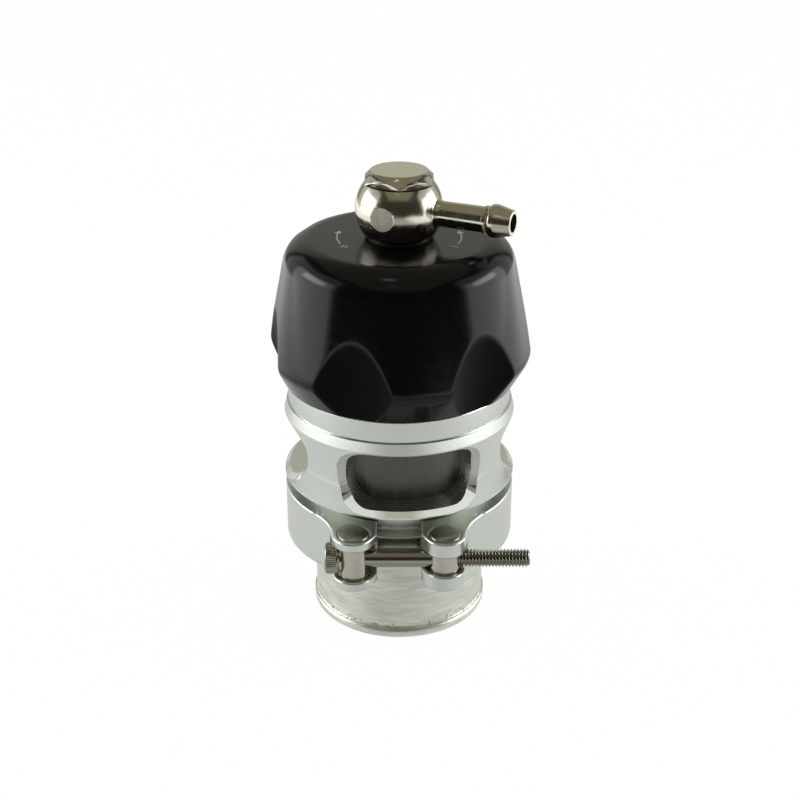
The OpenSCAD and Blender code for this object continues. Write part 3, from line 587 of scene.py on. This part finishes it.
class VALVE_OT_cap(bpy.types.Operator):
    """Make the cap: a turned outline whose side is cut back by leaning round flutes"""

    bl_idname = "valve.cap"
    bl_label = "Cap"

    def execute(self, context):
        size = look().cap
        low, high = CAP_LOW.z, CAP_HIGH.z
        hole, bore = size.hole / 2, size.bore / 2
        inner = high - size.ceiling
        # The bore's thread is 16.8 mm long, and above it the bore is 2.1 mm narrower all round
        step, relief = low + 16.8 * MM, bore - 2.1 * MM
        outline = rounded(
            [
                (hole, high, 0),
                (size.top / 2, high, size.fillet),
                (size.widest / 2, low + size.chamfer, size.belly),
                (size.edge / 2, low, 0.2 * MM),
                (bore, low, 0),
                (bore, step, 0),
                (relief, step, 0),
                (relief, inner, 2 * MM),
                (hole, inner, 0),
            ]
        )
        outline = subdivided(outline, 0.45 * MM)
        # Inside, wider steps are enough
        inside = (outline[:, 0] < bore + 0.1 * MM) & (outline[:, 1] < high - 0.1 * MM)
        keep = ~inside | (np.arange(len(outline)) % 6 == 0)
        outline = outline[keep]
        turns = np.linspace(0, 2 * np.pi, 600, endpoint=False)
        radius = np.repeat(outline[None, :, 0], len(turns), 0)
        height = np.repeat(outline[None, :, 1], len(turns), 0)
        cut = self.flute_distance(size, turns, outline[:, 1], low)
        outside = outline[:, 0] > bore + 0.5 * MM
        soft = size.softness
        # Soft minimum of the turned radius and the flute's distance
        gap = np.clip((cut - radius) / soft, -40, 40)
        met = radius - soft * np.log1p(np.exp(-gap))
        cut_radius = np.where(outside[None], np.maximum(met, bore + 0.4 * MM), radius)
        points = np.stack([cut_radius * np.sin(turns)[:, None], -cut_radius * np.cos(turns)[:, None], height], -1)
        faces = grid_faces(len(turns), len(outline), True, True)
        material = black_anodised_aluminium(look().colours.cap)
        piece = new_piece("cap_fluted", points, faces, material, "cap")
        where = read_rows(piece.data.vertices, "co", 3, np.float32)
        far = np.hypot(where[:, 0], where[:, 1])
        own = self.flute_distance(size, np.arctan2(where[:, 0], -where[:, 1]), where[:, 2], low, True)
        # One in a flute, and a short ramp at its edge
        value = np.clip(1 - (own - far) / (0.2 * MM), 0, 1) * (far > bore + 0.3 * MM)
        piece.data.attributes.new("flute", "FLOAT", "POINT").data.foreach_set("value", value.astype(np.float32))
        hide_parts("cap")
        return {"FINISHED"}

    @staticmethod
    def flute_distance(size, turns, heights, low, paired=False):
        """Distance from the axis to the nearest flute: where a ray at a turn enters the leaning cylinder's ellipse."""
        lean = size.flute_lean
        centre = size.flute_floor + size.flute_radius * math.cos(lean)
        centre = centre + math.tan(lean) * (heights - low + size.flute_radius * math.sin(lean))
        pitch = 2 * np.pi / size.flutes
        off = (turns - size.flute_turn + pitch / 2) % pitch - pitch / 2
        if not paired:
            off, centre = off[:, None], centre[None]
        wide, deep = size.flute_radius, size.flute_radius / math.cos(lean)
        a = np.cos(off) ** 2 / deep**2 + np.sin(off) ** 2 / wide**2
        b = -2 * centre * np.cos(off) / deep**2
        c = centre**2 / deep**2 - 1
        inside = b * b - 4 * a * c
        return np.where(inside > 0, (-b - np.sqrt(np.maximum(inside, 0))) / (2 * a), 1.0)


class VALVE_OT_cap_marks(bpy.types.Operator):
    """Make the cap's marks: two plain curved arrows, with a plus and a minus, for the two ways to turn it"""

    bl_idname = "valve.cap_marks"
    bl_label = "Cap marks"

    def execute(self, context):
        top = CAP_HIGH.z + 0.01 * MM
        middle, half = 13.0 * MM, 0.16 * MM
        parts = []
        for side in (-1, 1):
            # Tail: a ring sector, counted from the front
            turns = np.radians(side * np.linspace(68, 98, 16))
            rows = np.stack([np.full(16, middle - half), np.full(16, middle + half)], 1)
            parts.append(self.flat(rows, turns[:, None] + np.zeros((1, 2))))
            # Head: a triangle that narrows to its tip
            turns = np.radians(side * np.linspace(98, 106, 5))
            wide = np.linspace(0.8, 0.02, 5) * MM
            parts.append(self.flat(np.stack([middle - wide, middle + wide], 1), turns[:, None] + np.zeros((1, 2))))
            # Sign: one bar, and for plus a second one across it
            spot = np.radians(side * 60)
            long = np.linspace(-0.9, 0.9, 5)[:, None] * MM
            bar = np.array([[-half, half]])
            parts.append(self.flat(middle + long + 0 * bar, spot + (bar + 0 * long) / middle))
            if side < 0:
                parts.append(self.flat(middle + bar + 0 * long, spot + (long + 0 * bar) / middle))
        starts = np.cumsum([0] + [p.shape[0] * p.shape[1] for p in parts])
        points = np.concatenate([p.reshape(-1, 2) for p in parts])
        points = np.column_stack([points, np.full(len(points), top)])
        faces = np.concatenate([grid_faces(*p.shape[:2], False, False) + s for p, s in zip(parts, starts)])
        new_piece("cap_marks", points, faces, laser_mark(look().colours.mark), "cap")
        return {"FINISHED"}

    @staticmethod
    def flat(radius, turn):
        """Points on the cap's top from radius and turn from the front."""
        return np.stack([radius * np.sin(turn), -radius * np.cos(turn)], -1)


class VALVE_OT_clamp_bolt(bpy.types.Operator):
    """Make the clamp bolt: a knurled socket head and a shank whose radius follows a screw thread along its length"""

    bl_idname = "valve.clamp_bolt"
    bl_label = "Clamp bolt"

    def execute(self, context):
        size = look().bolt
        across, up = (BARREL_LOW.y + BARREL_HIGH.y) / 2, (BARREL_LOW.z + BARREL_HIGH.z) / 2
        start, end = BOLT_LOW.x + size.head, BOLT_HIGH.x
        # The thread starts 1 mm inside the threaded barrel, is full 2 mm further on and ends in a point 0.5 mm long
        first, fading, point = BARREL_LOW.x + 1 * MM, 2 * MM, 0.5 * MM
        full = size.diameter / 2
        turns = np.linspace(0, 2 * np.pi, 48, endpoint=False)[None]
        along = np.concatenate([[start], np.arange(first, end, size.pitch / 10), [end]])[:, None]
        # A thread: a wave of one pitch that goes round once per turn, flattened at its crests
        wave = np.abs((along / size.pitch - turns / (2 * np.pi)) % 1 * 2 - 1)
        groove = size.depth * np.clip(wave * 1.25 - 0.125, 0, 1)
        fade = np.clip((along - first) / fading, 0, 1)
        tip = np.clip((along - end + point) / point, 0, 1)
        radius = np.minimum(full - groove * fade, full - point * tip)
        shank = self.around(along, radius, turns, across, up)
        # Closed at its end by rings that shrink to the axis
        lid = self.around(end, np.linspace(full - point, 0, 4)[:, None], turns, across, up)
        shank = np.concatenate([shank, lid])
        # Head: rows of place, radius and share of the knurl, from the socket's floor over the end and along the knurl
        edge, deep, tall = size.head_diameter / 2 / MM, size.socket_depth / MM, size.head / MM
        rows = np.array(
            [
                (deep, 0, 0),
                (deep, 1, 0),
                (0, 1, 0),
                (0, edge - 0.4, 0),
                (0.1, edge - 0.2, 0),
                (0.35, edge - 0.04, 0.3),
                (0.45, edge, 1),
                (tall - 0.55, edge, 1),
                (tall - 0.5, edge - 0.06, 0),
                (tall - 0.2, edge - 0.06, 0),
                (tall, edge - 0.25, 0),
                (tall, 1.8, 0),
            ]
        )
        turns = np.linspace(0, 2 * np.pi, 6 * size.ridges, endpoint=False)[None]
        ridge = size.knurl * np.abs(turns * size.ridges / np.pi % 2 - 1)
        radius = rows[:, 1:2] * MM - rows[:, 2:] * ridge
        # The socket's wall is a hexagon: half its width over the cosine of the turn from the nearest flat
        radius[1:3] = size.socket / 2 / np.cos(turns % (math.pi / 3) - math.pi / 6)
        head = self.around(BOLT_LOW.x + rows[:, :1] * MM, radius, turns, across, up)
        points = np.concatenate([shank.reshape(-1, 3), head.reshape(-1, 3)])
        faces = np.concatenate(
            [
                grid_faces(*shank.shape[:2], False, True),
                grid_faces(*head.shape[:2], False, True) + shank.shape[0] * shank.shape[1],
            ]
        )
        rolled = rolled_screw_steel(look().colours.screw)
        piece = new_piece("clamp_bolt_thread", points, faces, rolled, "clamp_bolt", 40)
        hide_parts("clamp_bolt")
        return {"FINISHED"}

    @staticmethod
    def around(along, radius, turns, across, up):
        """Points round a line along X from distance along it, radius and turn."""
        along, radius, turns = np.broadcast_arrays(along, radius, turns)
        return np.stack([along, across + radius * np.cos(turns), up + radius * np.sin(turns)], -1)


class VALVE_OT_body(bpy.types.Operator):
    """Finish the valve body"""

    bl_idname = "valve.body"
    bl_label = "Valve body"

    def execute(self, context):
        tint = look().colours.body
        # Outline of the waist between its two flares, which the front vent's chamfer lies within
        heights, radii = np.array([34.2, 37.4, 43.6, 48.8]) * MM, np.array([25.45, 23.3, 23.3, 25.2]) * MM
        # The front vent's chamfer gets a matt material whose brightness is a painted reflection, with painted shade and
        # a painted highlight
        turned_copy("body", satin_turned_aluminium(tint), chamfer_painted_reflection(), (heights, radii), self.lean)
        return {"FINISHED"}

    @staticmethod
    def lean(height, rise):
        """The lower flare and the upper rim shine as if they stood straighter than the solid."""
        slope = (rise > 0) & (rise < 0.75)
        flare = (height > 34.15 * MM) & (height < 38.6 * MM) & slope
        rim = (height > 48.9 * MM) & (height < 51.1 * MM) & slope
        return np.select([flare, rim], [0.15 * rise, 0.6 * rise], rise)


class VALVE_OT_spigot(bpy.types.Operator):
    """Finish the hose spigot"""

    bl_idname = "valve.spigot"
    bl_label = "Hose spigot"

    def execute(self, context):
        colours = look().colours
        turned_copy("inlet_stub", mill_finish_aluminium(colours.spigot, colours.stain))
        return {"FINISHED"}


class VALVE_OT_clamp(bpy.types.Operator):
    """Finish the clamp's halves, barrels, washer and hinge pin"""

    bl_idname = "valve.clamp"
    bl_label = "Clamp"

    def execute(self, context):
        satin = satin_machined_aluminium(look().colours.clamp)
        for node in ("clamp_half_left", "clamp_half_right"):
            smooth_copy(node, satin, broken=0.32 * MM)
        steel = turned_stainless_steel(look().colours.steel)
        for node in ("clamp_barrel_plain", "clamp_barrel_threaded", "clamp_washer", "clamp_hinge_pin"):
            smooth_copy(node, steel)
        return {"FINISHED"}


class VALVE_OT_vacuum_fitting(bpy.types.Operator):
    """Finish the vacuum fitting: the ball with its barb, the filed spot on it and its bolt"""

    bl_idname = "valve.vacuum_fitting"
    bl_label = "Vacuum fitting"

    def execute(self, context):
        nickel = bright_nickel_plate(look().colours.nickel)
        for node in ("banjo_fitting", "banjo_bolt"):
            smooth_copy(node, nickel)
        # Filed spot, a quarter turn from the barb: a disc on a flat of the ball
        turn, flat, up, edge = math.radians(23.8), 8.817 * MM, 93.5 * MM, 2.5 * MM
        out = np.array([-math.sin(turn), -math.cos(turn), 0])
        side = np.array([math.cos(turn), -math.sin(turn), 0])
        middle = out * flat + np.array([0, 0, up])
        rings, turns = np.linspace(0, edge, 6), np.linspace(0, 2 * np.pi, 96, endpoint=False)
        radius, around = np.meshgrid(rings, turns, indexing="ij")
        points = middle + (radius * np.cos(around))[..., None] * side
        points[..., 2] += radius * np.sin(around)
        faces = grid_faces(*radius.shape, False, True)
        brushed = brushed_nickel_plate(linear("#98958a"), turn)
        new_piece("banjo_spot", points, faces, brushed, "banjo_fitting")
        return {"FINISHED"}


class VALVE_OT_inside(bpy.types.Operator):
    """Finish the piston, its spring and the seals"""

    bl_idname = "valve.inside"
    bl_label = "Piston, spring and seals"

    def execute(self, context):
        colours = look().colours
        honed = hard_anodised_aluminium(colours.piston)
        for node in ("piston", "spring_seat"):
            smooth_copy(node, honed)
        # The spring, 43.6 mm long, would flatten towards its upper seat as the piston rises 11 mm; here it only gets a
        # mesh of its own
        spring = smooth_copy("spring", oiled_spring_wire(colours.spring), weighted=False)
        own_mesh(spring)
        rubber = nitrile_rubber(colours.rubber)
        seals = ("flange_seal", "valve_seal", "piston_ring", "cap_seal", "banjo_washer_lower", "banjo_washer_upper")
        for node in seals:
            smooth_copy(node, rubber)
        return {"FINISHED"}


class VALVE_OT_studio(bpy.types.Operator):
    """Make the camera, the lamps, the world, the floor and the room that reflections see"""

    bl_idname = "valve.studio"
    bl_label = "Studio"

    def execute(self, context):
        studio = look().studio
        scene = context.scene
        scene.view_settings.view_transform = "Standard"
        data = bpy.data.cameras.new("camera")
        data.lens, data.sensor_width, data.shift_x, data.clip_start = studio.lens, 36, 0.001, 0.01
        camera = bpy.data.objects.new("camera", data)
        camera.location = (0, -studio.distance, studio.height)
        camera.rotation_euler = (studio.tilt, 0, 0)
        scene.collection.objects.link(camera)
        scene.camera = camera
        # Distance to the side, shift to the back, height, width, tallness and brightness
        panels = (
            ("side wall", 0.46, 0.18, 0.25, 0.84, 0.50, studio.wall),
            ("softbox", 0.45, 0.03, 0.15, 0.46, 0.30, studio.softbox),
            ("lamp", 0.44, 0.01, 0.215, 0.24, 0.10, studio.lamp),
        )
        for side in (-1, 1):
            for name, far, back, up, wide, tall, glow in panels:
                self.panel(name, (side * far, back, up), (wide, tall), glow, (math.pi / 2, 0, side * math.pi / 2))
        # Small spots overhead and in front
        for back, wide in ((-0.05, 0.06), (-0.45, 0.04)):
            self.panel("spot", (-0.06, back, 0.70), (wide, wide), studio.spot, (0, 0, 0))
        self.world(scene)
        floor = self.sheet("floor", (-3, -3, 0), (6, 0, 0), (0, 6, 0), self.paper())
        self.room()
        return {"FINISHED"}

    @staticmethod
    def panel(name, place, size, glow, turn):
        """A glowing panel, facing down when unturned; its power is brightness times pi times area."""
        lamp = bpy.data.lights.new(name, "AREA")
        lamp.shape, lamp.size, lamp.size_y = "RECTANGLE", *size
        lamp.energy = glow * math.pi * size[0] * size[1]
        made = bpy.data.objects.new(name, lamp)
        made.location = place
        made.rotation_euler = turn
        made.visible_camera = False
        bpy.context.scene.collection.objects.link(made)

    def room(self):
        """Dark walls, a ceiling and a pale back wall, which only reflections see: a box without its floor."""
        low, high = np.array([-0.5, -0.9, 0.001]), np.array([0.5, 0.8, 0.75])
        corners = np.array([[i, j, k] for k in (0, 1) for j in (0, 1) for i in (0, 1)])
        faces = [(2, 6, 7, 3), (0, 1, 5, 4), (0, 4, 6, 2), (1, 3, 7, 5), (4, 5, 7, 6)]
        mesh = bpy.data.meshes.new("dark_room")
        mesh.from_pydata((low + corners * (high - low)).tolist(), [], faces)
        for name, code in (("pale wall", "#bcbcb0"), ("dark wall", "#403e36"), ("brown ceiling", "#948e7d")):
            mesh.materials.append(self.card(name, code))
        mesh.polygons.foreach_set("material_index", np.array([0, 1, 1, 1, 2], np.int32))
        made = bpy.data.objects.new("dark_room", mesh)
        made.visible_camera = made.visible_shadow = made.visible_diffuse = False
        bpy.context.scene.collection.objects.link(made)
        return made

    @staticmethod
    def sheet(name, corner, along, across, material):
        """A flat sheet: a corner plus shares of its two sides."""
        u, v = np.meshgrid(np.linspace(0, 1, 2), np.linspace(0, 1, 2), indexing="ij")
        points = np.array(corner) + u[..., None] * np.array(along) + v[..., None] * np.array(across)
        mesh = bpy.data.meshes.new(name)
        mesh.from_pydata(points.reshape(-1, 3).tolist(), [], grid_faces(2, 2, False, False)[:, ::-1].tolist())
        mesh.materials.append(material)
        made = bpy.data.objects.new(name, mesh)
        bpy.context.scene.collection.objects.link(made)
        return made

    @staticmethod
    def seen(tree):
        """One for rays from the camera, for rays that a gloss or a glass has turned, and for both."""
        path = add(tree, "ShaderNodeLightPath").outputs
        turned = {0: path["Is Glossy Ray"], 1: path["Is Transmission Ray"]}
        bent = add(tree, "ShaderNodeMath", turned, operation="MAXIMUM")
        both = add(tree, "ShaderNodeMath", {0: path["Is Camera Ray"], 1: bent}, operation="MAXIMUM")
        return path["Is Camera Ray"], bent, both

    def world(self, scene):
        """White where it is seen, and a softer fill for the light that falls on matt surfaces."""
        world = bpy.data.worlds.new("white studio")
        world.use_nodes = True
        tree = world.node_tree
        back = tree.nodes["Background"]
        back.inputs["Color"].default_value = (1, 1, 1, 1)
        level = add(tree, "ShaderNodeMapRange", {0: self.seen(tree)[2]}, {3: 0.55, 4: 1.0})
        tree.links.new(level.outputs[0], back.inputs["Strength"])
        scene.world = world

    def paper(self):
        """White paper that keeps a trace of the object's shadow, with its own brightness in reflections."""
        material = bpy.data.materials.new("white paper")
        material.use_nodes = True
        tree = material.node_tree
        tree.nodes.remove(tree.nodes["Principled BSDF"])
        place = add(tree, "ShaderNodeTexCoord").outputs["Object"]
        far = add(tree, "ShaderNodeSeparateXYZ", {0: lathe_place(tree, place)})
        level = add(tree, "ShaderNodeSeparateXYZ", {0: place}).outputs
        # Reflections see it lit from both sides, dimmer in front, with an edge in front and one behind
        width = add(tree, "ShaderNodeMath", {0: level[0]}, operation="ABSOLUTE")
        side = add(tree, "ShaderNodeMapRange", {0: width}, {1: 0.11, 2: 0.22, 3: 0.6, 4: 1.6})
        near = add(tree, "ShaderNodeMapRange", {0: far}, {1: 0.16, 2: 0.08, 3: 0.6, 4: 0.74})
        lit = add(tree, "ShaderNodeMath", {0: side, 1: near}, operation="MAXIMUM")
        back = add(tree, "ShaderNodeMapRange", {0: level[1]}, {1: 0.6, 2: 0.4, 3: 0.1})
        front = add(tree, "ShaderNodeMapRange", {0: level[1]}, {1: -0.75, 2: -0.6, 3: 0.05})
        ends = add(tree, "ShaderNodeMath", {0: back, 1: front}, operation="MULTIPLY")
        # Shade under the clamp's ears, 45 mm in front of the axis
        ears = add(tree, "ShaderNodeVectorMath", {0: place}, {1: (0, -0.045, 0)}, operation="DISTANCE")
        shade = add(tree, "ShaderNodeMapRange", {0: ears.outputs["Value"]}, {1: 0.012, 2: 0.034, 3: 0.7})
        clear = add(tree, "ShaderNodeMath", {0: ends, 1: shade}, operation="MULTIPLY")
        paper = add(tree, "ShaderNodeMath", {0: lit, 1: clear}, operation="MULTIPLY")
        direct, bent, both = self.seen(tree)
        part = add(tree, "ShaderNodeMath", {0: bent, 1: paper}, operation="MULTIPLY")
        bright = add(tree, "ShaderNodeMath", {0: direct, 1: part}, operation="MAXIMUM")
        share = add(tree, "ShaderNodeMapRange", {0: both}, {3: 0.0, 4: 0.985})
        plain = add(tree, "ShaderNodeBsdfDiffuse", values={"Color": (0.72, 0.72, 0.71, 1)})
        glow = add(tree, "ShaderNodeEmission", {"Strength": bright}, {"Color": (1, 1, 1, 1)})
        mixed = add(tree, "ShaderNodeMixShader", {0: share, 1: plain, 2: glow})
        tree.links.new(mixed.outputs[0], tree.nodes["Material Output"].inputs["Surface"])
        return material

    @staticmethod
    def card(name, code):
        """A wall as reflections see it: an even tone."""
        material = bpy.data.materials.new(name)
        material.use_nodes = True
        tree = material.node_tree
        tree.nodes.remove(tree.nodes["Principled BSDF"])
        tone = add(tree, "ShaderNodeEmission", values={"Color": (*linear(code), 1), "Strength": 1.0})
        tree.links.new(tone.outputs[0], tree.nodes["Material Output"].inputs["Surface"])
        return material


class VALVE_PT_panel(bpy.types.Panel):
    """The valve's pieces and values"""

    bl_idname = "VALVE_PT_panel"
    bl_label = "Blow off valve"
    bl_space_type = "VIEW_3D"
    bl_region_type = "UI"
    bl_category = "Valve"

    def draw(self, context):
        for operator in OPERATORS:
            self.layout.operator(operator.bl_idname)
        values = context.scene.valve_look
        for group in (values.cap, values.bolt, values.colours, values.studio):
            box = self.layout.box()
            for name in group.__annotations__:
                box.prop(group, name)


OPERATORS = (
    VALVE_OT_body,
    VALVE_OT_spigot,
    VALVE_OT_cap,
    VALVE_OT_cap_marks,
    VALVE_OT_vacuum_fitting,
    VALVE_OT_clamp,
    VALVE_OT_clamp_bolt,
    VALVE_OT_inside,
    VALVE_OT_studio,
)
CLASSES = (ValveCapSizes, ValveBoltSizes, ValveColours, ValveStudio, ValveLook, *OPERATORS, VALVE_PT_panel)


def register():
    for one in CLASSES:
        bpy.utils.register_class(one)
    bpy.types.Scene.valve_look = PointerProperty(type=ValveLook)


def unregister():
    del bpy.types.Scene.valve_look
    for one in reversed(CLASSES):
        bpy.utils.unregister_class(one)


def main():
    """Registers the add-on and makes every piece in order."""
    register()
    for operator in OPERATORS:
        group, name = operator.bl_idname.split(".")
        getattr(getattr(bpy.ops, group), name)()


if __name__ == "__main__":
    main()
